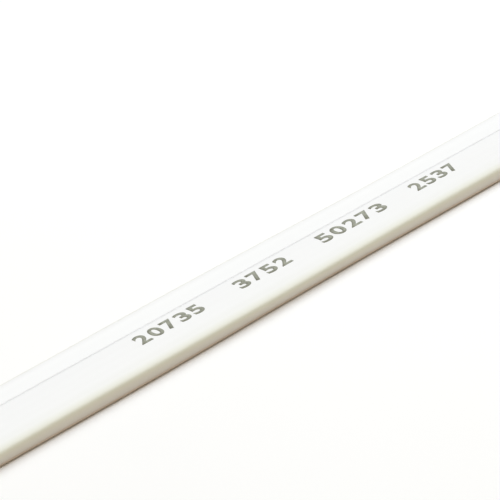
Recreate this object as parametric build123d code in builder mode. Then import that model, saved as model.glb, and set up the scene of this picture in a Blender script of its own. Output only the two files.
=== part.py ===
from build123d import *
import math
import os

# Flat patch cable with an eight-way modular plug at each end, lying on a table.
# Plug A stands at the origin with its nose towards -X. Its cable runs out along +X, flat on the
# table, then turns onto its edge and is wound into an oval hank that is held by a strap.
# Plug B lies on its side inside the hank. Millimetres, +Z up, and the table is Z = 0.

# ---- driving dimensions: cable ----
CABLE_WIDTH = 7.0
CABLE_THICK = 1.4
CABLE_CORNER = 0.4  # radius along the long edges of the jacket
FREE_LENGTH = 960.0  # cable between the two boots, for a patch cable of nominally 1 m

# ---- driving dimensions: plug ----
PLUG_WIDTH = 11.68
PLUG_HEIGHT = 6.6
PLUG_LENGTH = 21.5
WAYS = 8
PITCH = 1.02
FIT = 0.05  # clearance between pieces that are pushed together
NOSE_CHAMFER = 0.7
HOUSING_RADIUS = 0.35

# ---- driving dimensions: contact blades ----
BLADE_X = 0.6  # front edge, from the plug's nose
BLADE_INSET = 0.35  # of the contact edge from the underside of the housing
BLADE_BITE = 0.15  # of the tines past the wires' axes
BLADE_THICK = 0.35
BLADE_LENGTH = 5.8
BLADE_NOSE = 1.1  # height of the thin nose that the socket's springs touch
BLADE_NOSE_RADIUS = 0.45
TINE_START = 2.1  # from the blade's nose to its first tine
TINE_WIDTH = 1.0
TINE_HEIGHT = 0.9

# ---- driving dimensions: wires and the comb behind the blades ----
AXIS_Z = 3.7  # height of the cable and of the row of wires
WIRE_X = 2.4  # front end of the wires, from the plug's nose
JACKET_REACH = 0.2  # of the stripped jacket beyond the boot's front edge
WIRE_DIAMETER = 0.82
CORE_DIAMETER = 0.5
WIRE_PITCH_IN_JACKET = 0.86
FAN_LENGTH = 1.6  # over which the wires close up to enter the jacket
BAR_X = 8.2
BAR_LENGTH = 4.6
BAR_HEIGHT = 2.8
BAR_MARGIN = 0.6  # of the comb beyond the wires on each side
BAR_CHAMFER = 0.3
BAR_SLOT = 0.5  # height of the slot that joins the comb's bores

# ---- driving dimensions: strain-relief tongue ----
TONGUE_SETBACK = 3.4  # from the boot's front edge
TONGUE_LENGTH = 2.2
TONGUE_WIDTH = 6.0
TONGUE_HEIGHT = 1.0

# ---- driving dimensions: latch ----
HINGE_X = 1.7
HINGE_DEPTH = 0.25  # of the hinge's axis below the top of the housing
KNUCKLE_RADIUS = 0.5
LATCH_PLAY = 0.1
LATCH_LIFT = 0.35  # of the lever's underside above the hinge's axis
LATCH_THICK = 0.95
LATCH_ROOT_WIDTH = 6.2
LATCH_TAB_WIDTH = 3.4
LATCH_TAB_RADIUS = 0.8
LATCH_SHOULDER_X = 8.4
LATCH_END_X = 16.6
LATCH_RISE = 3.3  # how far the finger tab stands above the root
CATCH_LENGTH = 2.6
CATCH_HEIGHT = 0.8
CATCH_TAPER = 12
GRIPS = 3  # raised bars under the fingertip
GRIP_PITCH = 0.9
GRIP_WIDTH = 0.4
GRIP_LENGTH = 2.8
GRIP_HEIGHT = 0.25
GRIP_SETBACK = 1.6  # from the end of the tab to the middle bar

# ---- driving dimensions: boot ----
BOOT_WALL = 0.8
BOOT_LENGTH = 29.0
BOOT_LAP = 7.0  # length of the boot's skirt that goes over the housing
SLEEVE_LENGTH = 9.0  # straight part, before the boot narrows
BOOT_RADIUS = 1.0
TAIL_WIDTH = 9.4
TAIL_HEIGHT = 3.8
EAR_START = 0.6  # from the boot's front edge
EAR_CLEARANCE = 0.6  # beside the finger tab
EAR_SLOPE = 1.0
EAR_TOP = 2.4
EAR_THICK = 1.5
EAR_HEIGHT = 3.4
EAR_TOE = 0.4  # height left where the ear's back meets the sleeve
FLEX_SLOTS = 5
FLEX_SLOT_WIDTH = 1.1
FLEX_SLOT_SETBACK = 2.6  # from each end of the tapered tail
FLEX_WALL = 0.75  # left beside the cable at a flex slot

# ---- driving dimensions: lay of the cable ----
ARC_SHARE = 0.45  # of the shorter run at a corner that its arc may take up
BOOT_RUN = 10.0  # straight run out of boot A
DROP_RUN = 28.0  # from boot A to where the cable turns level on the table
TWIST_START = 142.0
HANK_START = 178.0
HANK_RADIUS = 20.25  # centreline of the outermost fold
TURN_PITCH = 2.5
TURNS = 3
LEAD_START = 11.0  # straight run out of the innermost turn
LEAD_RISE = 26.0  # from the hank to where the lead is level with boot B
LEAD_LENGTH = 36.0  # from the hank to boot B
PLUG_B_FACE = -8.0  # the underside of boot B, beside the innermost turn
TIE_WIDTH = 9.0
TIE_THICK = 0.8
TIE_RADIUS = 1.0
TIE_INNER_RADIUS = 0.2
TIE_END_RADIUS = 0.35
TIE_STEP = 1.0  # beyond the strap, before the turns are back on the table
TIE_LAP_SHIFT = 1.0  # of the lapped end towards the middle of the hank

# ---- worked out from them: plug, in its own frame ----
# X runs from the nose to the cable, Z from the table to the latch.
BOOT_WIDTH = PLUG_WIDTH + 2 * BOOT_WALL + 2 * FIT
BASE = BOOT_WALL + FIT  # underside of the housing
TOP = BASE + PLUG_HEIGHT
SKIRT_X = PLUG_LENGTH - BOOT_LAP
SLEEVE_END_X = SKIRT_X + SLEEVE_LENGTH
TAIL_X = SKIRT_X + BOOT_LENGTH
HALF_PLUG = TAIL_X / 2
JACKET_X = SKIRT_X - JACKET_REACH  # where the jacket is stripped back
BLADE_END_X = BLADE_X + BLADE_LENGTH
BLADE_BOTTOM = BASE + BLADE_INSET
BLADE_TOP = AXIS_Z + BLADE_BITE
CHANNEL_WIDTH = (WAYS - 1) * PITCH + WIRE_DIAMETER + 2 * FIT
CHANNEL_HEIGHT = WIRE_DIAMETER + 2 * FIT
BAR_WIDTH = CHANNEL_WIDTH + 2 * BAR_MARGIN
HINGE_Z = TOP - HINGE_DEPTH
EAR_GAP = LATCH_TAB_WIDTH + 2 * EAR_CLEARANCE

# ---- worked out from them: lay ----
PLUG_B_AXIS_Z = BOOT_WIDTH / 2
PLUG_B_CABLE_Y = PLUG_B_FACE - AXIS_Z
INNER_Y = -TURNS * TURN_PITCH  # where the cable leaves the innermost turn
BUNDLE = (TURNS - 1) * TURN_PITCH  # across the turns, between their centrelines


def stations():
    """Places of the eight ways across the plug."""
    return [(i - (WAYS - 1) / 2) * PITCH for i in range(WAYS)]


def rounded_radii(points):
    """The largest arc that each corner's two runs allow."""
    radii = []
    for before, corner, after in zip(points, points[1:], points[2:]):
        run_in = Vector(*corner) - Vector(*before)
        run_out = Vector(*after) - Vector(*corner)
        half_turn = math.radians(run_in.get_angle(run_out)) / 2
        radii.append(ARC_SHARE * min(run_in.length, run_out.length) / math.tan(half_turn))
    return radii


def finish(piece, label, seat=None):
    """Name a finished piece, set it in its seat and write it."""
    with BuildPart() as placed:
        with Locations(seat.location if seat else Location()):
            add(piece)
    placed.part.label = label
    export_step(placed.part, f"parts/{label}.step")


# ======================= plug, made once in its own frame =======================

def make_blade(y):
    """Contact blade: rounded at the nose, with two tines that reach into the wire."""
    root = BLADE_TOP - TINE_HEIGHT
    first_tine = BLADE_X + TINE_START
    last_tine = BLADE_END_X - TINE_WIDTH
    with BuildPart() as blade:
        with BuildSketch(Plane.XZ.offset(-y)):
            with BuildLine():
                Polyline(
                    (BLADE_X, BLADE_BOTTOM + BLADE_NOSE),
                    (BLADE_X, BLADE_BOTTOM),
                    (BLADE_END_X, BLADE_BOTTOM),
                    (BLADE_END_X, root),
                    (last_tine + TINE_WIDTH / 2, BLADE_TOP),
                    (last_tine, root),
                    (first_tine + TINE_WIDTH, root),
                    (first_tine + TINE_WIDTH / 2, BLADE_TOP),
                    (first_tine, root),
                    (first_tine, BLADE_BOTTOM + BLADE_NOSE),
                    close=True,
                )
            make_face()
        extrude(amount=BLADE_THICK / 2, both=True)
        nose_edge = blade.edges().filter_by(Axis.Y).group_by(Axis.Z)[0].sort_by(Axis.X)[0]
        fillet(nose_edge, radius=BLADE_NOSE_RADIUS)
    return blade.part


def make_wire(y, diameter, cut):
    """Straight wire in its way, fanned in at the rear to the width of the jacket."""
    rear_y = y * WIRE_PITCH_IN_JACKET / PITCH
    points = [(WIRE_X, y, AXIS_Z), (JACKET_X - FAN_LENGTH, y, AXIS_Z), (JACKET_X, rear_y, AXIS_Z)]
    with BuildPart() as wire:
        with BuildLine() as route:
            FilletPolyline(*points, radius=rounded_radii(points))
        with BuildSketch(Plane(origin=points[0], z_dir=(1, 0, 0))):
            Circle(diameter / 2)
        sweep(path=route.line)
        split(bisect_by=Plane.YZ.offset(JACKET_X - FIT), keep=Keep.BOTTOM)
        for other in cut:
            add(other, mode=Mode.SUBTRACT)
    return wire.part


def make_latch():
    """Latch lever: a knuckle at the nose, a catch with two shoulders and a finger tab."""
    slope = math.atan2(LATCH_RISE, LATCH_END_X - HINGE_X)
    tilt = Plane(
        origin=(HINGE_X, 0, HINGE_Z + LATCH_LIFT),
        x_dir=(math.cos(slope), 0, math.sin(slope)),
        z_dir=(-math.sin(slope), 0, math.cos(slope)),
    )
    shoulder = (LATCH_SHOULDER_X - HINGE_X) / math.cos(slope)
    length = (LATCH_END_X - HINGE_X) / math.cos(slope)
    with BuildPart() as latch:
        with BuildSketch(tilt):
            with BuildLine():
                Polyline(
                    (0, -LATCH_ROOT_WIDTH / 2),
                    (shoulder, -LATCH_ROOT_WIDTH / 2),
                    (shoulder, -LATCH_TAB_WIDTH / 2),
                    (length, -LATCH_TAB_WIDTH / 2),
                    (length, LATCH_TAB_WIDTH / 2),
                    (shoulder, LATCH_TAB_WIDTH / 2),
                    (shoulder, LATCH_ROOT_WIDTH / 2),
                    (0, LATCH_ROOT_WIDTH / 2),
                    close=True,
                )
            make_face()
        extrude(amount=LATCH_THICK)
        with BuildSketch(Plane.XZ):
            with Locations((HINGE_X, HINGE_Z)):
                Circle(KNUCKLE_RADIUS)
        extrude(amount=LATCH_ROOT_WIDTH / 2, both=True)
        with BuildSketch(tilt.offset(LATCH_THICK)):
            with Locations((shoulder - CATCH_LENGTH / 2, 0)):
                Rectangle(CATCH_LENGTH, LATCH_ROOT_WIDTH)
        extrude(amount=CATCH_HEIGHT, taper=CATCH_TAPER)
        with BuildSketch(tilt.offset(LATCH_THICK)):
            with Locations((length - GRIP_SETBACK, 0)):
                with GridLocations(GRIP_PITCH, 0, GRIPS, 1):
                    Rectangle(GRIP_WIDTH, GRIP_LENGTH)
        extrude(amount=GRIP_HEIGHT)
        tab_corners = latch.edges().filter_by(Axis((0, 0, 0), tilt.z_dir)).sort_by(Axis.X)[-2:]
        fillet(tab_corners, radius=LATCH_TAB_RADIUS)
    return latch.part


def make_load_bar():
    """Comb that keeps the eight wires in one row behind the blades."""
    with BuildPart() as bar:
        with Locations((BAR_X, 0, AXIS_Z)):
            Box(BAR_LENGTH, BAR_WIDTH, BAR_HEIGHT, align=(Align.MIN, Align.CENTER, Align.CENTER))
        chamfer(bar.edges().filter_by(Axis.Y), length=BAR_CHAMFER)
        with BuildSketch(Plane.YZ.offset(BAR_X)):
            with Locations(*[(y, AXIS_Z) for y in stations()]):
                Circle(WIRE_DIAMETER / 2 + FIT)
            with Locations((0, AXIS_Z)):
                Rectangle(CHANNEL_WIDTH - WIRE_DIAMETER, BAR_SLOT)
        extrude(amount=BAR_LENGTH, mode=Mode.SUBTRACT)
    return bar.part


def make_housing():
    """Clear plug body: blade slots, wire channel, comb pocket, jacket chamber and latch seat."""
    with BuildPart() as housing:
        with Locations((0, 0, BASE)):
            Box(PLUG_LENGTH, PLUG_WIDTH, PLUG_HEIGHT, align=(Align.MIN, Align.CENTER, Align.MIN))
        nose_top = housing.edges().filter_by(Axis.Y).group_by(Axis.X)[0].sort_by(Axis.Z)[-1]
        chamfer(nose_top, length=NOSE_CHAMFER)
        long_edges = housing.edges().filter_by(Axis.X)
        fillet(long_edges, radius=HOUSING_RADIUS)
        # blade slots, open at the underside and at the nose
        with BuildSketch(Plane.XY.offset(BASE)):
            with Locations(*[(BLADE_END_X, y) for y in stations()]):
                Rectangle(BLADE_END_X, BLADE_THICK + 2 * FIT, align=(Align.MAX, Align.CENTER))
        extrude(amount=AXIS_Z - BASE, mode=Mode.SUBTRACT)
        # wire channel and comb pocket
        with BuildSketch(Plane.YZ.offset(WIRE_X - 2 * FIT)):
            with Locations((0, AXIS_Z)):
                Rectangle(CHANNEL_WIDTH, CHANNEL_HEIGHT)
        extrude(amount=JACKET_X - WIRE_X, mode=Mode.SUBTRACT)
        with BuildSketch(Plane.YZ.offset(BAR_X - FIT)):
            with Locations((0, AXIS_Z)):
                Rectangle(BAR_WIDTH + 2 * FIT, BAR_HEIGHT + 2 * FIT)
        extrude(amount=PLUG_LENGTH - BAR_X + FIT, mode=Mode.SUBTRACT)
        # strain-relief tongue that bears on the jacket
        with Locations((SKIRT_X + TONGUE_SETBACK, 0, AXIS_Z + CABLE_THICK / 2)):
            Box(
                TONGUE_LENGTH, TONGUE_WIDTH, TONGUE_HEIGHT,
                align=(Align.CENTER, Align.CENTER, Align.MIN),
            )
        # seat for the latch's knuckle
        with BuildSketch(Plane.XZ):
            with Locations((HINGE_X, HINGE_Z)):
                Circle(KNUCKLE_RADIUS + LATCH_PLAY)
                Rectangle(
                    2 * (KNUCKLE_RADIUS + LATCH_PLAY), HINGE_DEPTH + KNUCKLE_RADIUS,
                    align=(Align.CENTER, Align.MIN),
                )
        extrude(amount=LATCH_ROOT_WIDTH / 2 + LATCH_PLAY, both=True, mode=Mode.SUBTRACT)
    return housing.part


def make_boot():
    """Soft boot: a skirt over the housing, two ears beside the latch and a ribbed flat tail."""
    with BuildPart() as boot:
        with BuildSketch(Plane.YZ.offset(SKIRT_X)):
            with Locations((0, (TOP + BOOT_WALL) / 2)):
                RectangleRounded(BOOT_WIDTH, TOP + BOOT_WALL, BOOT_RADIUS)
        extrude(amount=SLEEVE_LENGTH)
        with BuildSketch(Plane.YZ.offset(SLEEVE_END_X)):
            with Locations((0, (TOP + BOOT_WALL) / 2)):
                RectangleRounded(BOOT_WIDTH, TOP + BOOT_WALL, BOOT_RADIUS)
        with BuildSketch(Plane.YZ.offset(TAIL_X)):
            with Locations((0, AXIS_Z)):
                RectangleRounded(TAIL_WIDTH, TAIL_HEIGHT, BOOT_RADIUS)
        loft()
        # ears on each side of the finger tab
        ear_x = SKIRT_X + EAR_START
        with BuildSketch(Plane.XZ):
            with BuildLine():
                Polyline(
                    (ear_x, TOP),
                    (ear_x, TOP + EAR_HEIGHT - EAR_SLOPE),
                    (ear_x + EAR_SLOPE, TOP + EAR_HEIGHT),
                    (ear_x + EAR_SLOPE + EAR_TOP, TOP + EAR_HEIGHT),
                    (SLEEVE_END_X, TOP + EAR_TOE),
                    (SLEEVE_END_X, TOP),
                    close=True,
                )
            make_face()
        extrude(amount=EAR_GAP / 2 + EAR_THICK, both=True)
        with Locations((SKIRT_X, 0, TOP + BOOT_WALL)):
            Box(
                SLEEVE_LENGTH + EAR_SLOPE, EAR_GAP, EAR_HEIGHT,
                align=(Align.MIN, Align.CENTER, Align.MIN), mode=Mode.SUBTRACT,
            )
        # flex slots that leave the middle of the tail whole
        first_slot = SLEEVE_END_X + FLEX_SLOT_SETBACK
        slot_step = (TAIL_X - FLEX_SLOT_SETBACK - first_slot) / (FLEX_SLOTS - 1)
        for i in range(FLEX_SLOTS):
            for side in (-1, 1):
                with Locations((first_slot + i * slot_step, side * (CABLE_WIDTH / 2 + FLEX_WALL), AXIS_Z)):
                    Box(
                        FLEX_SLOT_WIDTH, BOOT_WIDTH, 2 * TOP,
                        align=(Align.CENTER, Align.MIN if side > 0 else Align.MAX, Align.CENTER),
                        mode=Mode.SUBTRACT,
                    )
        # pocket for the housing and bore for the cable
        with BuildSketch(Plane.YZ.offset(SKIRT_X)):
            with Locations((0, BASE + PLUG_HEIGHT / 2)):
                RectangleRounded(PLUG_WIDTH + 2 * FIT, PLUG_HEIGHT + 2 * FIT, HOUSING_RADIUS)
        extrude(amount=BOOT_LAP + FIT, mode=Mode.SUBTRACT)
        with BuildSketch(Plane.YZ.offset(SKIRT_X)):
            with Locations((0, AXIS_Z)):
                RectangleRounded(CABLE_WIDTH + 2 * FIT, CABLE_THICK + 2 * FIT, CABLE_CORNER)
        extrude(amount=BOOT_LENGTH, mode=Mode.SUBTRACT)
    return boot.part


def make_cable_end():
    """Jacket inside the boot and the housing, up to where it is stripped."""
    with BuildPart() as cable_end:
        with BuildSketch(Plane.YZ.offset(JACKET_X)):
            with Locations((0, AXIS_Z)):
                RectangleRounded(CABLE_WIDTH, CABLE_THICK, CABLE_CORNER)
        extrude(amount=TAIL_X - JACKET_X)
    return cable_end.part


def make_plug():
    """Every piece of one plug, by name, in the plug's own frame."""
    pieces = {
        "housing": make_housing(),
        "latch": make_latch(),
        "load_bar": make_load_bar(),
        "boot": make_boot(),
        "cable_end": make_cable_end(),
    }
    cores = []
    for way, y in enumerate(stations(), start=1):
        blade = make_blade(y)
        core = make_wire(y, CORE_DIAMETER, [blade])
        cores.append(core)
        pieces[f"contact_{way}"] = blade
        pieces[f"conductor_{way}"] = make_wire(y, WIRE_DIAMETER, [core, blade])
    with BuildPart() as core_group:
        for core in cores:
            add(core)
    pieces["conductor_cores"] = core_group.part
    return pieces


# ======================= where the two plugs lie =======================

seat_a = Plane(origin=(-HALF_PLUG, 0, 0))

# ======================= cable =======================

stretch_points = [
    (HALF_PLUG, 0, AXIS_Z),
    (HALF_PLUG + BOOT_RUN, 0, AXIS_Z),
    (HALF_PLUG + DROP_RUN, 0, CABLE_THICK / 2),
    (TWIST_START, 0, CABLE_THICK / 2),
]
lead_points = [
    (HANK_START, INNER_Y, CABLE_WIDTH / 2),
    (HANK_START + LEAD_START, INNER_Y, CABLE_WIDTH / 2),
    (HANK_START + LEAD_RISE, PLUG_B_CABLE_Y, PLUG_B_AXIS_Z),
    (HANK_START + LEAD_LENGTH, PLUG_B_CABLE_Y, PLUG_B_AXIS_Z),
]


def make_tube(points, width_dir):
    """Flat cable along straight runs joined by tangent arcs."""
    radii = rounded_radii(points)
    with BuildPart() as tube:
        with BuildLine() as route:
            FilletPolyline(*points, radius=radii)
        with BuildSketch(Plane(origin=points[0], x_dir=width_dir, z_dir=(1, 0, 0))):
            RectangleRounded(CABLE_WIDTH, CABLE_THICK, CABLE_CORNER)
        sweep(path=route.line)
    return tube.part, route.wire().length, radii


def twist_section(t):
    """Turn about the cable's axis and height of its centre, a share t along the twist."""
    turn = math.radians(90) * (3 * t**2 - 2 * t**3)
    height = (
        (CABLE_WIDTH / 2 - CABLE_CORNER) * math.sin(turn)
        + (CABLE_THICK / 2 - CABLE_CORNER) * math.cos(turn)
        + CABLE_CORNER
    )
    return turn, height


def make_twist(steps=8):
    """Quarter twist that takes the cable from its flat onto its edge, always on the table."""
    length = 0.0
    last = None
    with BuildPart() as twist:
        for i in range(steps + 1):
            turn, height = twist_section(i / steps)
            x = TWIST_START + (HANK_START - TWIST_START) * i / steps
            across = (0, math.cos(turn), math.sin(turn))
            with BuildSketch(Plane(origin=(x, 0, height), x_dir=across, z_dir=(1, 0, 0))):
                RectangleRounded(CABLE_WIDTH, CABLE_THICK, CABLE_CORNER)
            centre = Vector(x, 0, height)
            length += (centre - last).length if last else 0.0
            last = centre
        loft()
    return twist.part, length


stretch, stretch_length, stretch_radii = make_tube(stretch_points, (0, 1, 0))
lead, lead_length, lead_radii = make_tube(lead_points, (0, 0, 1))
twist, twist_length = make_twist()

# each half turn of the hank is one fold tighter by half a pitch than the one before
fold_radii = [HANK_RADIUS - k * TURN_PITCH / 2 for k in range(2 * TURNS)]
fold_length = math.pi * sum(fold_radii)
HANK_STRAIGHT = (
    FREE_LENGTH - stretch_length - twist_length - lead_length - fold_length
) / (2 * TURNS)
HANK_FAR = HANK_START + HANK_STRAIGHT
TIE_X = HANK_START + HANK_STRAIGHT / 2
seat_b = Plane(
    origin=(HANK_START + LEAD_LENGTH + TAIL_X, PLUG_B_FACE, PLUG_B_AXIS_Z),
    x_dir=(-1, 0, 0),
    z_dir=(0, -1, 0),
)


def make_hank():
    """Outer shape of the wound turns: an oval ring that steps where the cable joins and leaves."""
    skin = CABLE_THICK / 2
    far_centre = -HANK_RADIUS
    near_centre = -(HANK_RADIUS + TURN_PITCH / 2)
    near_radius = HANK_RADIUS - TURN_PITCH / 2
    low = -2 * HANK_RADIUS
    with BuildPart() as hank:
        with BuildSketch():
            with BuildLine():
                near_top = near_centre + near_radius + skin
                Line((HANK_START, near_top), (HANK_START, skin))
                Line((HANK_START, skin), (HANK_FAR, skin))
                ThreePointArc(
                    (HANK_FAR, skin),
                    (HANK_FAR + HANK_RADIUS + skin, far_centre),
                    (HANK_FAR, low - skin),
                )
                Line((HANK_FAR, low - skin), (HANK_START, low - skin))
                ThreePointArc(
                    (HANK_START, low - skin),
                    (HANK_START - near_radius - skin, near_centre),
                    (HANK_START, near_top),
                )
            make_face()
            with BuildLine():
                hole_far = HANK_RADIUS - BUNDLE - skin
                hole_near = near_radius - BUNDLE - skin
                Line((HANK_START, near_centre + hole_near), (HANK_START, far_centre + hole_far))
                Line((HANK_START, far_centre + hole_far), (HANK_FAR, far_centre + hole_far))
                ThreePointArc(
                    (HANK_FAR, far_centre + hole_far),
                    (HANK_FAR + hole_far, far_centre),
                    (HANK_FAR, far_centre - hole_far),
                )
                Line((HANK_FAR, far_centre - hole_far), (HANK_START, near_centre - hole_near))
                ThreePointArc(
                    (HANK_START, near_centre - hole_near),
                    (HANK_START - hole_near, near_centre),
                    (HANK_START, near_centre + hole_near),
                )
            make_face(mode=Mode.SUBTRACT)
        extrude(amount=CABLE_WIDTH)
        # the turns pass over the strap's underside, so they stand higher there
        band_y = low + BUNDLE / 2
        lift = TIE_THICK + FIT
        step_length = TIE_WIDTH + 2 * TIE_STEP
        with Locations((TIE_X, band_y, 0)):
            Box(
                step_length, BUNDLE + CABLE_THICK, lift,
                align=(Align.CENTER, Align.CENTER, Align.MIN), mode=Mode.SUBTRACT,
            )
        with Locations((TIE_X, band_y, CABLE_WIDTH)):
            Box(
                step_length, BUNDLE + CABLE_THICK, lift,
                align=(Align.CENTER, Align.CENTER, Align.MIN),
            )
    return hank.part


def make_tie():
    """Hook-and-loop strap round one side of the hank, its free end lapped on top."""
    band_y = -2 * HANK_RADIUS + BUNDLE / 2
    inside_width = BUNDLE + CABLE_THICK + 2 * FIT
    inside_height = CABLE_WIDTH + 2 * FIT
    lap_z = inside_height + 2.5 * TIE_THICK  # middle of the second layer on top
    with BuildPart() as tie:
        with BuildSketch(Plane.YZ.offset(TIE_X)):
            with Locations((band_y, TIE_THICK + inside_height / 2)):
                RectangleRounded(inside_width + 2 * TIE_THICK, inside_height + 2 * TIE_THICK, TIE_RADIUS)
                RectangleRounded(inside_width, inside_height, TIE_INNER_RADIUS, mode=Mode.SUBTRACT)
            with Locations((band_y + TIE_LAP_SHIFT, lap_z)):
                RectangleRounded(inside_width - TIE_LAP_SHIFT, TIE_THICK, TIE_END_RADIUS)
        extrude(amount=TIE_WIDTH / 2, both=True)
    return tie.part


# ======================= write the pieces =======================

os.makedirs("parts", exist_ok=True)

plug_pieces = make_plug()
for prefix, seat in (("plug_a", seat_a), ("plug_b", seat_b)):
    for name, piece in plug_pieces.items():
        finish(piece, f"{prefix}_{name}", seat)

finish(stretch, "cable_stretch")
finish(twist, "cable_twist")
finish(make_hank(), "cable_hank")
finish(lead, "cable_lead")
finish(make_tie(), "hank_tie")

# ======================= figures for the cable =======================

section = CABLE_WIDTH * CABLE_THICK - (4 - math.pi) * CABLE_CORNER**2
print("radii of the stretch", [round(r, 1) for r in stretch_radii])
print("radii of the lead", [round(r, 1) for r in lead_radii])
print("folds of the hank", [round(r, 1) for r in fold_radii])
print("straight side of the hank", round(HANK_STRAIGHT, 2), "far centre", round(HANK_FAR, 2))
for label, tube, length in (
    ("stretch", stretch, stretch_length),
    ("twist", twist, twist_length),
    ("lead", lead, lead_length),
):
    print(label, "length", round(length, 2), "volume", round(tube.volume, 2),
          "section times length", round(section * length, 2))
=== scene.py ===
import math

import bmesh
import bpy
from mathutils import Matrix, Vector


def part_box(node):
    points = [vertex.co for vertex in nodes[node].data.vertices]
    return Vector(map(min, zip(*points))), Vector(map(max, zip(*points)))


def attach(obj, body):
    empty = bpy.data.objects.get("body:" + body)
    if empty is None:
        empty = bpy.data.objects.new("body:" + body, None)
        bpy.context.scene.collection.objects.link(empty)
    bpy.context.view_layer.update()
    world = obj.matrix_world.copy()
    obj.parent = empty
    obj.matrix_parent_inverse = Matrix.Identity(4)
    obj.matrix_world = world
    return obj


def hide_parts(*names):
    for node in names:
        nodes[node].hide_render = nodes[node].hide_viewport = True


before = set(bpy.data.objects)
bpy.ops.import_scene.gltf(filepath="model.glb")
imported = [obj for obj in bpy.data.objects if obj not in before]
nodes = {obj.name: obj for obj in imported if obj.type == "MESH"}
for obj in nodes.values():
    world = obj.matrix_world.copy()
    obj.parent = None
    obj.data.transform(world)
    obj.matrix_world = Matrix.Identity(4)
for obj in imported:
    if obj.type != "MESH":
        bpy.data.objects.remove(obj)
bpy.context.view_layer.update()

# A flat white patch cable on a pale table. Plug A is at the origin, the cable runs along +X, and the
# length that isn't in view is wound on its edge into a strapped hank with plug B inside it.

MM = 0.001

# ---- cable: the same sizes and route as the CAD, in metres ----
WIDTH = 7.0 * MM
THICK = 1.4 * MM
CORNER = 0.4 * MM
SHOULDER = 0.85 * MM  # width of the soft rounding at each edge of the top face
SHOULDER_DROP = 0.36 * MM
UNEVEN = 0.07 * MM  # how far the extruded edges wander
UNEVEN_LENGTH = 46 * MM
TOP_WIDEST = -3.5 * MM  # from the middle of the view to where the top face is widest
FOOT_WIDEST = 31 * MM  # and to where the foot is
GROOVE_AT = 1.05 * MM  # from the middle, towards the edge away from the camera
GROOVE_HALF = 0.07 * MM
GROOVE_DEPTH = 0.06 * MM
WIRE_PITCH = 0.86 * MM
VIEW_X = 97 * MM  # middle of the stretch that the camera sees
RIPPLE = 0.012 * MM  # how far the jacket stands proud over each wire

AXIS_Z = 3.7 * MM
EXIT = (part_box("plug_a_boot")[1].x, 0.0, AXIS_Z)
TWIST_START = 142 * MM
HANK_START = 178 * MM
HANK_RADIUS = 20.25 * MM
TURN_PITCH = 2.5 * MM
TURNS = 3
FOLDS = 2 * TURNS
HANK_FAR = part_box("cable_hank")[1].x - HANK_RADIUS - THICK / 2
ON_EDGE = WIDTH / 2  # height of the centre line where the cable stands on its edge
TIE_LIFT = 0.85 * MM  # of the turns over the strap's underside
TIE_LOW, TIE_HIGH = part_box("hank_tie")
TIE_X = (TIE_LOW.x + TIE_HIGH.x) / 2
TIE_HALF = (TIE_HIGH.x - TIE_LOW.x) / 2

LYING = THICK / 2  # height of the centre line where the cable lies on its flat
LEAD_Y = -11.7 * MM
LEAD_Z = 6.69 * MM

STRETCH_ROUTE = [
    EXIT,
    (31.75 * MM, 0, AXIS_Z),
    (49.75 * MM, 0, LYING),
    (68 * MM, 0, LYING),
    (130 * MM, 0, LYING),
    (TWIST_START, 0, LYING),
]
TWIST_ROUTE = [
    (148 * MM, 0, 1.0 * MM),
    (154 * MM, 0, 2.05 * MM),
    (160 * MM, 0, 3.05 * MM),
    (168 * MM, 0, 3.55 * MM),
    (HANK_START, 0, ON_EDGE),
]
LEAD_ROUTE = [
    (189 * MM, -TURNS * TURN_PITCH, ON_EDGE),
    (204 * MM, LEAD_Y, LEAD_Z),
    (214 * MM, LEAD_Y, LEAD_Z),
]


ARC_POINTS = 6  # control points round each half circle of the hank
RUN_IN = 0.45  # of the radius, from the last control point of a side to the half circle
QUARTER_TURN = math.radians(90)
SHARP_ANGLE = math.radians(38)


def hank_route():
    """The wound turns: straight sides joined by half circles, each tighter by half a pitch."""
    points = []
    side_y = 0.0
    step = math.pi / ARC_POINTS
    for fold in range(FOLDS):
        radius = HANK_RADIUS - fold * TURN_PITCH / 2
        far_end = fold % 2 == 0
        centre_x = HANK_FAR if far_end else HANK_START
        facing = 1 if far_end else -1
        centre_y = side_y - facing * radius
        reach = radius / math.cos(step / 2)
        side_end = centre_x - facing * radius * RUN_IN
        points.append((side_end, side_y, ON_EDGE))
        for k in range(ARC_POINTS):
            turn = step * (k + 0.5)
            x = centre_x + facing * reach * math.sin(turn)
            y = centre_y + facing * reach * math.cos(turn)
            points.append((x, y, ON_EDGE))
        side_y = centre_y - facing * radius
        points.append((side_end, side_y, ON_EDGE))
        if far_end:
            # over the strap's underside
            for ahead, height in ((12, 0), (6, TIE_LIFT), (-6, TIE_LIFT), (-12, 0)):
                points.append((TIE_X + ahead * MM, side_y, ON_EDGE + height))
    return points


def spline_points(name, points, resolution=8):
    """Points along the smooth spline that has these control points."""
    curve = bpy.data.curves.new(name, "CURVE")
    curve.dimensions = "3D"
    curve.resolution_u = resolution
    spline = curve.splines.new("NURBS")
    spline.points.add(len(points) - 1)
    for point, place in zip(spline.points, points):
        point.co = (*place, 1)
    spline.order_u = 3
    spline.use_endpoint_u = True
    holder = bpy.data.objects.new(name, curve)
    bpy.context.scene.collection.objects.link(holder)
    bpy.context.view_layer.update()
    line = bpy.data.meshes.new_from_object(holder)
    places = [v.co.copy() for v in line.vertices]
    bpy.data.objects.remove(holder)
    bpy.data.meshes.remove(line)
    return places


def smooth(t):
    t = max(0.0, min(1.0, t))
    return t * t * (3 - 2 * t)


TOP_STEPS = 14  # from the middle of the top face to each shoulder
GROOVE_REACH = 2.2  # half widths of the groove that the ripple leaves free on each side
# half widths from the groove's middle, and share of its depth
GROOVE_SHAPE = ((-1.6, 0), (-1, 0.25), (-0.4, 1), (0.4, 1), (1, 0.25), (1.6, 0))


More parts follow.
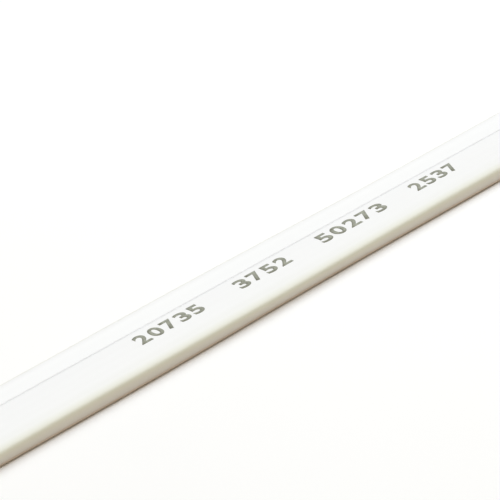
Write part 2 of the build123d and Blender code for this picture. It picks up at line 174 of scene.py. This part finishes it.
def cable_section():
    """Outline of the jacket from the middle of its underside, up the far side and down the near one.

    The top face is rippled over the wires and has one hairline groove."""
    flat = WIDTH / 2 - SHOULDER
    top = []
    for i in range(2 * TOP_STEPS + 1):
        u = flat * (i / TOP_STEPS - 1)
        if abs(u - GROOVE_AT) > GROOVE_REACH * GROOVE_HALF:
            ripple = RIPPLE * (1 - math.cos(2 * math.pi * u / WIRE_PITCH)) / 2
            top.append((u, THICK / 2 - ripple))
    for share, depth in GROOVE_SHAPE:
        top.append((GROOVE_AT + share * GROOVE_HALF, THICK / 2 - depth * GROOVE_DEPTH))
    top.sort(reverse=True)
    far = [(0, -THICK / 2)]
    for i in range(4):
        turn = math.radians(30 * i)
        far.append((WIDTH / 2 - CORNER * (1 - math.sin(turn)), CORNER * (1 - math.cos(turn)) - THICK / 2))
    for i in range(6):
        turn = math.radians(15 * i)
        far.append((flat + SHOULDER * math.cos(turn), THICK / 2 - SHOULDER_DROP * (1 - math.sin(turn))))
    near = [(-u, w) for u, w in reversed(far)]
    return far + top + near


def girths(section):
    """How far round its outline each point of a section is, from 0 to 1."""
    places = [0.0]
    for a, b in zip(section, section[1:]):
        places.append(places[-1] + math.dist(a, b))
    return [place / places[-1] for place in places]


def uneven(along, u, w):
    """The edges of an extruded strip wander a little along its length."""
    if abs(u) < WIDTH / 2 - SHOULDER:
        return u
    widest = VIEW_X + (TOP_WIDEST if w > 0 else FOOT_WIDEST)
    wander = UNEVEN * math.cos(2 * math.pi * (along - widest) / UNEVEN_LENGTH)
    return u * (1 + 2 * wander / WIDTH)


def frame_at(path, i, turn):
    """Width and thickness directions of a flat strip at a point of its path."""
    ahead = path[min(i + 1, len(path) - 1)] - path[max(i - 1, 0)]
    along = ahead.normalized()
    level = Vector((0, 0, 1)).cross(along).normalized()
    up = along.cross(level)
    across = math.cos(turn) * level + math.sin(turn) * up
    return across, along.cross(across)


def sweep(name, path, section, turn_at):
    """Closed mesh of the jacket's section swept along a path, with its girth kept for the finish."""
    mesh = bmesh.new()
    girth = mesh.loops.layers.float.new("girth")
    round_it = girths(section)
    rings = []
    for i, place in enumerate(path):
        across, through = frame_at(path, i, turn_at(place, i))
        ring = [place + uneven(place.x, u, w) * across + w * through for u, w in section[:-1]]
        rings.append([mesh.verts.new(point) for point in ring])
    count = len(section) - 1
    for low, high in zip(rings, rings[1:]):
        for k in range(count):
            after = (k + 1) % count
            face = mesh.faces.new((low[k], low[after], high[after], high[k]))
            face.smooth = True
            for loop, share in zip(face.loops, (k, k + 1, k + 1, k)):
                loop[girth] = round_it[share]
    mesh.faces.new(rings[0][::-1])
    mesh.faces.new(rings[-1])
    bmesh.ops.recalc_face_normals(mesh, faces=mesh.faces)
    data = bpy.data.meshes.new(name)
    mesh.to_mesh(data)
    mesh.free()
    data.set_sharp_from_angle(angle=SHARP_ANGLE)
    piece = bpy.data.objects.new(name, data)
    bpy.context.scene.collection.objects.link(piece)
    return piece


# ======================= materials =======================

class Finish:
    """A Principled material with small helpers for procedural detail in object space."""

    def __init__(self, name, colour, roughness):
        self.material = bpy.data.materials.new(name)
        self.material.use_nodes = True
        self.tree = self.material.node_tree
        self.shader = self.tree.nodes["Principled BSDF"]
        self.shader.inputs["Base Color"].default_value = (*colour, 1)
        self.shader.inputs["Roughness"].default_value = roughness
        self.place = self.tree.nodes.new("ShaderNodeTexCoord").outputs["Object"]
        self.heights = []

    def set(self, **values):
        for name, value in values.items():
            self.shader.inputs[name.replace("_", " ")].default_value = value
        return self

    def link(self, source, target):
        self.tree.links.new(source, target)

    def scaled(self, scale):
        mapping = self.tree.nodes.new("ShaderNodeMapping")
        mapping.inputs["Scale"].default_value = scale
        self.link(self.place, mapping.inputs["Vector"])
        return mapping.outputs["Vector"]

    def noise(self, scale, detail=3.0, roughness=0.55):
        node = self.tree.nodes.new("ShaderNodeTexNoise")
        node.inputs["Scale"].default_value = 1.0
        node.inputs["Detail"].default_value = detail
        node.inputs["Roughness"].default_value = roughness
        scale = scale if isinstance(scale, tuple) else (scale, scale, scale)
        self.link(self.scaled(scale), node.inputs["Vector"])
        return node.outputs["Fac"]

    def wave(self, scale, direction="X", distortion=0.0):
        node = self.tree.nodes.new("ShaderNodeTexWave")
        node.bands_direction = direction
        node.inputs["Scale"].default_value = scale
        node.inputs["Distortion"].default_value = distortion
        self.link(self.place, node.inputs["Vector"])
        return node.outputs["Fac"]

    def ramp(self, factor, stops):
        node = self.tree.nodes.new("ShaderNodeValToRGB")
        while len(node.color_ramp.elements) < len(stops):
            node.color_ramp.elements.new(0.5)
        for element, (position, colour) in zip(node.color_ramp.elements, stops):
            element.position = position
            element.color = (*colour, 1)
        self.link(factor, node.inputs["Fac"])
        return node.outputs["Color"]

    def colour(self, factor, stops):
        self.link(self.ramp(factor, stops), self.shader.inputs["Base Color"])
        return self

    def vary_roughness(self, factor, low, high):
        node = self.tree.nodes.new("ShaderNodeMapRange")
        node.inputs["To Min"].default_value = low
        node.inputs["To Max"].default_value = high
        self.link(factor, node.inputs["Value"])
        self.link(node.outputs["Result"], self.shader.inputs["Roughness"])
        return self

    def bump(self, factor, distance, strength=1.0):
        node = self.tree.nodes.new("ShaderNodeBump")
        node.inputs["Distance"].default_value = distance
        node.inputs["Strength"].default_value = strength
        self.link(factor, node.inputs["Height"])
        if self.heights:
            self.link(self.heights[-1], node.inputs["Normal"])
        self.heights.append(node.outputs["Normal"])
        self.link(node.outputs["Normal"], self.shader.inputs["Normal"])
        return self

    def share_along(self, start, end):
        """From 0 to 1 between two places along the cable."""
        split = self.tree.nodes.new("ShaderNodeSeparateXYZ")
        self.link(self.place, split.inputs["Vector"])
        share = self.tree.nodes.new("ShaderNodeMapRange")
        share.inputs["From Min"].default_value = start
        share.inputs["From Max"].default_value = end
        self.link(split.outputs["X"], share.inputs["Value"])
        return share.outputs["Result"]

    def girth(self):
        node = self.tree.nodes.new("ShaderNodeAttribute")
        node.attribute_name = "girth"
        return node.outputs["Fac"]

    def mix(self, first, second, blend="MIX", share=None):
        """Two colours mixed by a share, or multiplied."""
        node = self.tree.nodes.new("ShaderNodeMix")
        node.data_type = "RGBA"
        node.blend_type = blend
        node.inputs["Factor"].default_value = 1.0
        if share:
            self.link(share, node.inputs["Factor"])
        ways_in = [socket for socket in node.inputs if socket.type == "RGBA"]
        self.link(first, ways_in[0])
        self.link(second, ways_in[1])
        return [socket for socket in node.outputs if socket.type == "RGBA"][0]


def lighter(colour, share):
    return tuple(min(1.0, c * share) for c in colour)


PVC = (0.90, 0.905, 0.905)
SIDE_SHADE = (0.84, 0.84, 0.80)
# Painted shade on both sides of the jacket along the stretch: darker and beige from each shoulder down the
# side, brown at the foot. A painted dark line lies in the groove. The top is painted lighter beyond the
# groove than before it.
STRETCH_PAINTED_SHADING = [  # round the stretch on the table, from the underside over the far side to the near one
    (0.165, PVC), (0.190, (0.480, 0.370, 0.265)), (0.226, (0.500, 0.395, 0.290)),
    (0.236, (0.610, 0.552, 0.475)), (0.250, (0.665, 0.622, 0.535)), (0.265, (0.700, 0.660, 0.545)),
    (0.285, (0.795, 0.798, 0.715)), (0.305, (0.925, 0.932, 0.932)), (0.42, (0.915, 0.922, 0.922)),
    (0.429, (0.890, 0.898, 0.898)), (0.4325, (0.76, 0.77, 0.78)), (0.4365, (0.76, 0.77, 0.78)),
    (0.442, (0.888, 0.892, 0.894)), (0.62, (0.890, 0.895, 0.890)), (0.672, (0.868, 0.874, 0.850)),
    (0.700, (0.795, 0.798, 0.715)), (0.724, (0.715, 0.695, 0.565)), (0.735, (0.700, 0.660, 0.545)),
    (0.750, (0.665, 0.622, 0.535)), (0.764, (0.610, 0.552, 0.475)), (0.774, (0.500, 0.395, 0.290)),
    (0.810, (0.480, 0.370, 0.265)), (0.835, PVC),
]
REST_PAINTED_SHADE = [  # painted shade on the sides round the rest of the cable, lighter than along the stretch
    (0.22, PVC), (0.25, SIDE_SHADE), (0.30, PVC), (0.70, PVC), (0.75, SIDE_SHADE), (0.78, PVC),
]


def jacket_finish():
    """Extruded PVC: painted shade on the sides along the stretch (beige, brown at the foot), a painted
    dark line in the groove and the top painted lighter beyond it, lighter painted shade on the sides
    elsewhere; fine draw lines, a faint pebble and slight clouding.
    """
    made = Finish("jacket_pvc", PVC, 0.42)
    girth = made.girth()
    # Painted light and shade round the girth: the stretch's ramp blends into the lighter painted shade of
    # the rest between the twist and the hank.
    stretch_shading, rest_shade = made.ramp(girth, STRETCH_PAINTED_SHADING), made.ramp(girth, REST_PAINTED_SHADE)
    whole = made.mix(stretch_shading, rest_shade, share=made.share_along(TWIST_START, HANK_START))
    cloud = made.ramp(made.noise((40, 220, 220), 4), [(0.3, (0.985, 0.985, 0.985)), (0.7, (1, 1, 1))])
    made.link(made.mix(whole, cloud, "MULTIPLY"), made.shader.inputs["Base Color"])
    made.vary_roughness(made.noise(900, 3), 0.36, 0.52)
    made.bump(made.noise((60, 5200, 5200), 2), 0.000012, 0.35)
    made.bump(made.noise(4200, 3), 0.000010, 0.3)
    return made.set(IOR=1.52).material


def boot_finish():
    """Soft moulded PVC with a fine spark-eroded grain."""
    colour = (0.86, 0.86, 0.83)
    made = Finish("boot_pvc", colour, 0.58)
    made.colour(made.noise(160, 4), [(0.3, lighter(colour, 0.96)), (0.75, lighter(colour, 1.02))])
    made.vary_roughness(made.noise(700, 2), 0.5, 0.68)
    made.bump(made.noise(5200, 4), 0.00003, 0.5)
    return made.material


def end_finish():
    """The same PVC inside the plug."""
    made = Finish("jacket_pvc_end", PVC, 0.45)
    made.colour(made.noise((40, 220, 220), 4), [(0.3, lighter(PVC, 0.98)), (0.7, PVC)])
    made.bump(made.noise((60, 5200, 5200), 2), 0.000012, 0.35)
    return made.set(IOR=1.52).material


def clear_finish():
    """Moulded polycarbonate: clear, with faint flow marks and soft scuffs."""
    made = Finish("clear_polycarbonate", (0.95, 0.97, 0.98), 0.05)
    made.vary_roughness(made.noise(500, 4), 0.03, 0.13)
    made.bump(made.noise((180, 420, 420), 3), 0.00003, 0.25)
    return made.set(Transmission_Weight=1.0, IOR=1.585).material


def comb_finish():
    """Frosted polycarbonate of the wire comb."""
    made = Finish("frosted_polycarbonate", (0.9, 0.93, 0.95), 0.3)
    made.vary_roughness(made.noise(900, 3), 0.24, 0.4)
    made.bump(made.noise(3600, 3), 0.00002, 0.4)
    return made.set(Transmission_Weight=0.75, IOR=1.585).material


def gold_finish():
    """Gold-plated blade, polished, with fine punching marks."""
    colour = (1.0, 0.76, 0.34)
    made = Finish("gold_plate", colour, 0.2)
    made.colour(made.noise(1400, 3), [(0.3, lighter(colour, 0.9)), (0.7, colour)])
    made.vary_roughness(made.noise((400, 400, 4000), 3), 0.14, 0.32)
    made.bump(made.noise((500, 500, 9000), 2), 0.000006, 0.4)
    return made.set(Metallic=1.0).material


def copper_finish():
    colour = (0.93, 0.5, 0.33)
    made = Finish("drawn_copper", colour, 0.28)
    made.colour(made.noise(2000, 3), [(0.3, lighter(colour, 0.85)), (0.7, colour)])
    made.vary_roughness(made.noise((200, 6000, 6000), 2), 0.2, 0.38)
    return made.set(Metallic=1.0).material


def wire_finish(way, colour, striped):
    """Wire insulation; the light wire of each pair is white with dashes of the pair's colour."""
    made = Finish(f"insulation_{way}", colour, 0.34)
    if striped:
        white = (0.9, 0.9, 0.88)
        made.colour(made.wave(95, "X", 0.3), [(0.60, white), (0.66, colour)])
    else:
        made.colour(made.noise(900, 3), [(0.3, lighter(colour, 0.86)), (0.7, lighter(colour, 1.08))])
    made.bump(made.noise((200, 5000, 5000), 2), 0.00001, 0.3)
    return made.set(IOR=1.5).material


def strap_finish():
    """Hook-and-loop strap: a dense brushed loop pile over a ribbed weave."""
    dark, light = (0.018, 0.018, 0.02), (0.075, 0.075, 0.08)
    made = Finish("strap_weave", dark, 0.9)
    made.colour(made.noise(2600, 5, 0.7), [(0.35, dark), (0.7, light)])
    made.bump(made.wave(700, "X", 1.5), 0.00008, 0.6)
    made.bump(made.noise(5200, 5, 0.7), 0.00012, 0.8)
    return made.set(Sheen_Weight=0.35, Sheen_Roughness=0.5).material


def ink_finish():
    colour = (0.3, 0.31, 0.25)
    made = Finish("print_ink", colour, 0.6)
    made.colour(made.noise(3200, 4, 0.7), [(0.3, lighter(colour, 0.75)), (0.7, lighter(colour, 1.35))])
    return made.material


# ======================= cable =======================

route = STRETCH_ROUTE + TWIST_ROUTE + hank_route() + LEAD_ROUTE
path = spline_points("cable_route", route)


def cable_turn(place, i):
    """Flat on the table up to the twist, on its edge after it."""
    if i > len(path) // 2:
        return QUARTER_TURN
    return QUARTER_TURN * smooth((place.x - TWIST_START) / (HANK_START - TWIST_START))


cable = sweep("cable_jacket", path, cable_section(), cable_turn)
cable.data.materials.append(jacket_finish())
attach(cable, "root")
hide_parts("cable_stretch", "cable_twist", "cable_hank", "cable_lead")

# ======================= printed marks: numerals only =======================

MARK_HEIGHT = 1.32 * MM
MARK_Y = -0.22 * MM
MARK_LIFT = 0.006 * MM
MARK_FILM = 0.008 * MM
MARKS = [  # numerals, start along the cable from the middle of the view, pitch
    ("20735", -13.7 * MM, 1.55 * MM),
    ("3752", -2.0 * MM, 1.65 * MM),
    ("50273", 8.3 * MM, 1.80 * MM),
    ("2537", 20.9 * MM, 1.62 * MM),
]
MARK_WIDTH = 0.8  # share of the pitch
MARK_BOLD = 0.028  # stroke widening, as a share of the font's size


def numeral(text):
    """Flat mesh of one bold numeral, one unit wide and high."""
    font = bpy.data.curves.new("numeral", "FONT")
    font.body = text
    font.offset = MARK_BOLD
    holder = bpy.data.objects.new("numeral", font)
    bpy.context.scene.collection.objects.link(holder)
    bpy.context.view_layer.update()
    flat = bpy.data.meshes.new_from_object(holder)
    bpy.data.objects.remove(holder)
    low = [min(v.co[k] for v in flat.vertices) for k in (0, 1)]
    high = [max(v.co[k] for v in flat.vertices) for k in (0, 1)]
    for v in flat.vertices:
        v.co = ((v.co.x - low[0]) / (high[0] - low[0]), (v.co.y - low[1]) / (high[1] - low[1]), 0)
    return flat


def print_marks():
    """Thin ink numerals on the top face, joined into one mesh."""
    ink = bmesh.new()
    for text, start, pitch in MARKS:
        for i, digit in enumerate(text):
            flat = numeral(digit)
            for v in flat.vertices:
                x = VIEW_X + start + pitch * (i + MARK_WIDTH * v.co.x)
                y = MARK_Y + MARK_HEIGHT * (v.co.y - 0.5)
                v.co = (x, y, THICK + MARK_LIFT)
            ink.from_mesh(flat)
            bpy.data.meshes.remove(flat)
    data = bpy.data.meshes.new("print_marks")
    ink.to_mesh(data)
    ink.free()
    piece = bpy.data.objects.new("print_marks", data)
    bpy.context.scene.collection.objects.link(piece)
    thicken = piece.modifiers.new("film", "SOLIDIFY")
    thicken.thickness = MARK_FILM
    thicken.offset = -1
    return piece


marks = print_marks()
marks.data.materials.append(ink_finish())
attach(marks, "root")

# ======================= strap =======================

def strap_section():
    """A strap's section, as wide as the CAD tie, with soft edges."""
    thick = 0.78 * MM
    soft = 0.25 * MM
    outline = []
    for sx, sz, start in ((1, 1, 0), (-1, 1, 90), (-1, -1, 180), (1, -1, 270)):
        for i in range(4):
            turn = math.radians(start + 30 * i)
            u = sx * (TIE_HALF - soft) + soft * math.cos(turn)
            w = sz * (thick / 2 - soft) + soft * math.sin(turn)
            outline.append((u, w))
    return outline


def strap_path():
    """Round the three turns once and lapped over the start on top; the free tail lifts a little."""
    low_y, high_y = TIE_LOW.y + 0.4 * MM, TIE_HIGH.y - 0.4 * MM
    base, top = 0.4 * MM, 8.3 * MM
    lap = 0.85 * MM
    turn = 1.0 * MM
    corners = [
        (high_y - 2.2 * MM, top), (low_y + 2 * turn, top), (low_y + turn, top), (low_y, top),
        (low_y, top - turn), (low_y, base + 2 * turn), (low_y, base + turn), (low_y, base),
        (low_y + turn, base), (high_y - 2 * turn, base), (high_y - turn, base), (high_y, base),
        (high_y, base + turn), (high_y, top - turn), (high_y, top), (high_y - 0.1 * MM, top + lap),
        (high_y - turn, top + lap), (low_y + 3 * turn, top + lap), (low_y + turn, top + lap + 0.15 * MM),
        (low_y + 0.3 * MM, top + lap + 0.5 * MM),
    ]
    return [(TIE_X, y, z) for y, z in corners]


def make_strap():
    line = spline_points("strap_route", strap_path(), 6)
    section = strap_section()
    mesh = bmesh.new()
    rings = []
    for i, place in enumerate(line):
        along = (line[min(i + 1, len(line) - 1)] - line[max(i - 1, 0)]).normalized()
        across = Vector((1, 0, 0))
        through = along.cross(across)
        rings.append([mesh.verts.new(place + u * across + w * through) for u, w in section])
    count = len(section)
    for low, high in zip(rings, rings[1:]):
        for k in range(count):
            after = (k + 1) % count
            mesh.faces.new((low[k], low[after], high[after], high[k])).smooth = True
    mesh.faces.new(rings[0][::-1])
    mesh.faces.new(rings[-1])
    bmesh.ops.recalc_face_normals(mesh, faces=mesh.faces)
    data = bpy.data.meshes.new("hank_strap")
    mesh.to_mesh(data)
    mesh.free()
    piece = bpy.data.objects.new("hank_strap", data)
    bpy.context.scene.collection.objects.link(piece)
    return piece


strap = make_strap()
strap.data.materials.append(strap_finish())
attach(strap, "root")
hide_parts("hank_tie")

# ======================= plugs: the CAD pieces with their finishes =======================

PAIR_COLOURS = [
    ((0.85, 0.30, 0.03), True), ((0.85, 0.30, 0.03), False), ((0.02, 0.36, 0.10), True),
    ((0.02, 0.10, 0.50), False), ((0.02, 0.10, 0.50), True), ((0.02, 0.36, 0.10), False),
    ((0.22, 0.09, 0.03), True), ((0.22, 0.09, 0.03), False),
]
clear = clear_finish()
finishes = {
    "housing": clear,
    "latch": clear,
    "load_bar": comb_finish(),
    "boot": boot_finish(),
    "cable_end": end_finish(),
    "conductor_cores": copper_finish(),
}
gold = gold_finish()
for way, (colour, striped) in enumerate(PAIR_COLOURS, start=1):
    finishes[f"contact_{way}"] = gold
    finishes[f"conductor_{way}"] = wire_finish(way, colour, striped)
for prefix in ("plug_a", "plug_b"):
    for name, finish in finishes.items():
        node = nodes[f"{prefix}_{name}"]
        node.data.materials.clear()
        node.data.materials.append(finish)

# ======================= table, lights and camera =======================

TABLE_SIZE = 6.0
WORLD_COLOUR = (1.0, 0.90, 0.71, 1)
WORLD_STRENGTH = 0.38
CAMERA_AZIMUTH = -50.3  # degrees, as is the elevation; the lens and the distance are in millimetres
CAMERA_ELEVATION = 26.9
CAMERA_LENS = 190.9
CAMERA_DISTANCE = 212.3


def make_table():
    bpy.ops.mesh.primitive_plane_add(size=TABLE_SIZE, location=(VIEW_X, 0, 0))
    table = bpy.context.object
    table.name = "table"
    made = Finish("table_white", (0.955, 0.955, 0.95), 0.75)
    made.colour(made.noise(30, 3), [(0.3, (0.95, 0.95, 0.943)), (0.7, (0.96, 0.96, 0.955))])
    table.data.materials.append(made.material)


def area_light(name, place, aim, size, power, colour):
    light = bpy.data.lights.new(name, "AREA")
    light.shape = "SQUARE"
    light.size = size
    light.energy = power
    light.color = colour
    lamp = bpy.data.objects.new(name, light)
    lamp.location = place
    lamp.rotation_euler = (Vector(aim) - Vector(place)).to_track_quat("-Z", "Y").to_euler()
    bpy.context.scene.collection.objects.link(lamp)


def make_world():
    world = bpy.data.worlds.new("studio")
    world.use_nodes = True
    back = world.node_tree.nodes["Background"]
    back.inputs["Color"].default_value = WORLD_COLOUR
    back.inputs["Strength"].default_value = WORLD_STRENGTH
    bpy.context.scene.world = world


def make_camera():
    azimuth, elevation = math.radians(CAMERA_AZIMUTH), math.radians(CAMERA_ELEVATION)
    back = Vector((
        math.sin(azimuth) * math.cos(elevation),
        -math.cos(azimuth) * math.cos(elevation),
        math.sin(elevation),
    ))
    aim = Vector((VIEW_X + 3.5 * MM, 3.0 * MM, THICK))
    data = bpy.data.cameras.new("camera")
    data.lens = CAMERA_LENS
    data.sensor_width = 36
    data.clip_start = 0.01
    camera = bpy.data.objects.new("camera", data)
    camera.location = aim + back * CAMERA_DISTANCE * MM
    camera.rotation_euler = (-back).to_track_quat("-Z", "Y").to_euler()
    bpy.context.scene.collection.objects.link(camera)
    bpy.context.scene.camera = camera


make_table()
make_world()
middle = (VIEW_X, 0, 0)
area_light("key", (VIEW_X + 0.20, 0.08, 0.48), middle, 0.62, 3.18, (0.89, 0.945, 1.035))
area_light("fill", (VIEW_X - 0.5, -0.5, 0.45), middle, 0.7, 0.42, (1.0, 0.9, 0.75))
make_camera()
bpy.context.scene.view_settings.view_transform = "Standard"
